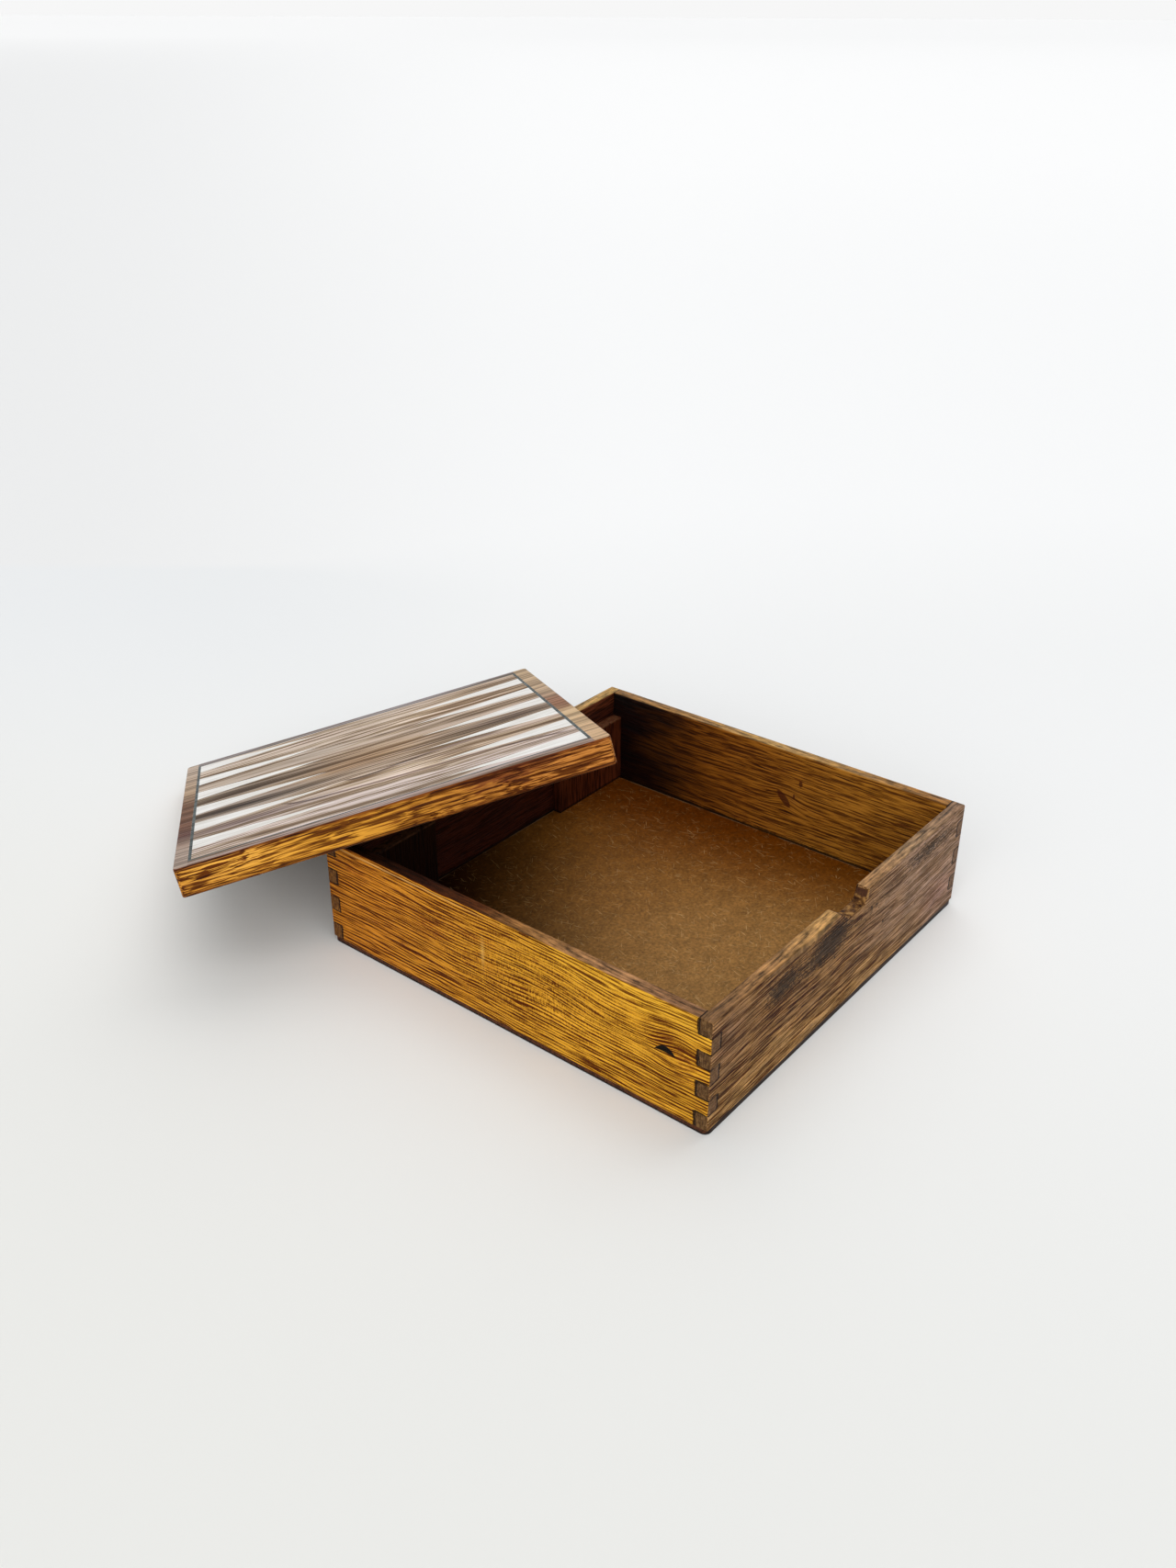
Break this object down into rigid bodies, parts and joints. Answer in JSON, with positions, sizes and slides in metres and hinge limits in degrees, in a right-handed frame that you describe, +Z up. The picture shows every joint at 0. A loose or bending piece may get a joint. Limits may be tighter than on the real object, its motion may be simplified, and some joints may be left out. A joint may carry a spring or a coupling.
{
  "type": "box",
  "caption": "Low square wooden box with finger-jointed corners, a scooped finger notch and a loose flat lid inlaid with tapered points, which leans behind the box.",
  "frame": {"origin": "centre of the underside of the base panel", "axes": "+Z up, -Y out through the notched front wall, +X to the right seen from the front"},
  "size_m": [0.3144, 0.4354, 0.1118],
  "materials": {
    "wall_wood": "satin varnish",
    "block_wood": "satin varnish",
    "dark_panel": "worn dark stain",
    "hardboard": "smooth matt",
    "lid_wood": "gloss lacquer",
    "point_inlay": "gloss lacquer",
    "string_inlay": "gloss lacquer"
  },
  "bodies": {
    "box": {"front_wall": "wall_wood", "back_wall": "wall_wood", "left_wall": "wall_wood", "right_wall": "wall_wood", "base_panel": "dark_panel", "floor_sheet": "hardboard", "front_left_block": "block_wood", "front_right_block": "block_wood", "back_left_block": "block_wood", "back_right_block": "block_wood"},
    "lid": {"lid_board": "lid_wood", "left_point_1": "point_inlay", "left_point_2": "point_inlay", "left_point_3": "point_inlay", "left_point_4": "point_inlay", "left_point_5": "point_inlay", "left_point_6": "point_inlay", "right_point_1": "point_inlay", "right_point_2": "point_inlay", "right_point_3": "point_inlay", "right_point_4": "point_inlay", "right_point_5": "point_inlay", "right_point_6": "point_inlay", "left_string": "string_inlay", "right_string": "string_inlay", "near_string": "string_inlay", "far_string": "string_inlay"}
  },
  "joints": [
    {"name": "lid_lift", "type": "slide", "parent": "box", "child": "lid", "axis": [0, 0, 1], "range_m": [0, 0.12]}
  ]
}
